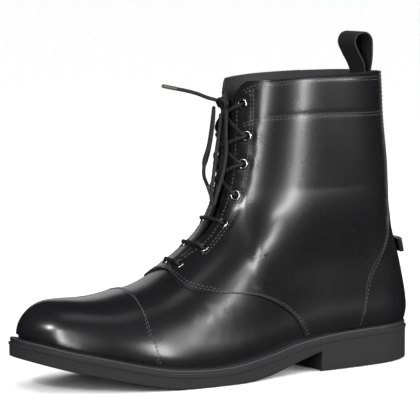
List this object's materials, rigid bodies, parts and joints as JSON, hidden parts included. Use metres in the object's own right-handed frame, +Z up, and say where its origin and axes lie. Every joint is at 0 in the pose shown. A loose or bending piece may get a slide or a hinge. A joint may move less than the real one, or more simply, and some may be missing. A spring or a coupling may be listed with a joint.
{
  "type": "paddock boot",
  "caption": "Black leather lace-up riding ankle boot with toe cap, heel counter, raised welt, moulded heeled sole and pull loop, standing empty.",
  "frame": {"origin": "middle of the boot's length and width on the floor it stands on, measured without the loose lace", "axes": "-X toward the toe, +X toward the heel, -Y toward the outer side of the left foot, +Z up"},
  "size_m": [0.2902, 0.0972, 0.2197],
  "materials": {
    "sole_rubber": "matt",
    "welt_rubber": "satin",
    "footbed": "matt",
    "shell_leather": "semi-gloss",
    "quarter_leather": "semi-gloss",
    "cap_leather": "semi-gloss",
    "counter_leather": "semi-gloss",
    "tongue_leather": "semi-gloss",
    "tab_leather": "semi-gloss",
    "webbing": "matt",
    "eyelet_metal": "polished",
    "lace_cord": "matt",
    "lace_tip": "gloss"
  },
  "bodies": {
    "root": {"outsole": "sole_rubber", "welt": "welt_rubber", "insole": "footbed", "upper": "shell_leather", "quarters": "quarter_leather", "toe_cap": "cap_leather", "counter": "counter_leather", "tongue": "tongue_leather", "spur_rest": "tab_leather", "pull_loop": "webbing", "eyelet_outer_1": "eyelet_metal", "eyelet_outer_2": "eyelet_metal", "eyelet_outer_3": "eyelet_metal", "eyelet_outer_4": "eyelet_metal", "eyelet_outer_5": "eyelet_metal", "eyelet_outer_6": "eyelet_metal", "eyelet_outer_7": "eyelet_metal", "eyelet_inner_1": "eyelet_metal", "eyelet_inner_2": "eyelet_metal", "eyelet_inner_3": "eyelet_metal", "eyelet_inner_4": "eyelet_metal", "eyelet_inner_5": "eyelet_metal", "eyelet_inner_6": "eyelet_metal", "eyelet_inner_7": "eyelet_metal", "lace_bar_1": "lace_cord", "lace_bar_2": "lace_cord", "lace_bar_3": "lace_cord", "lace_crossing_4": "lace_cord", "lace_crossing_5": "lace_cord", "lace_crossing_6": "lace_cord", "lace_knot": "lace_cord", "lace_loop_near": "lace_cord", "lace_loop_far": "lace_cord", "lace_end_up": "lace_cord", "lace_end_down": "lace_cord", "lace_tip_up": "lace_tip", "lace_tip_down": "lace_tip"}
  },
  "joints": []
}
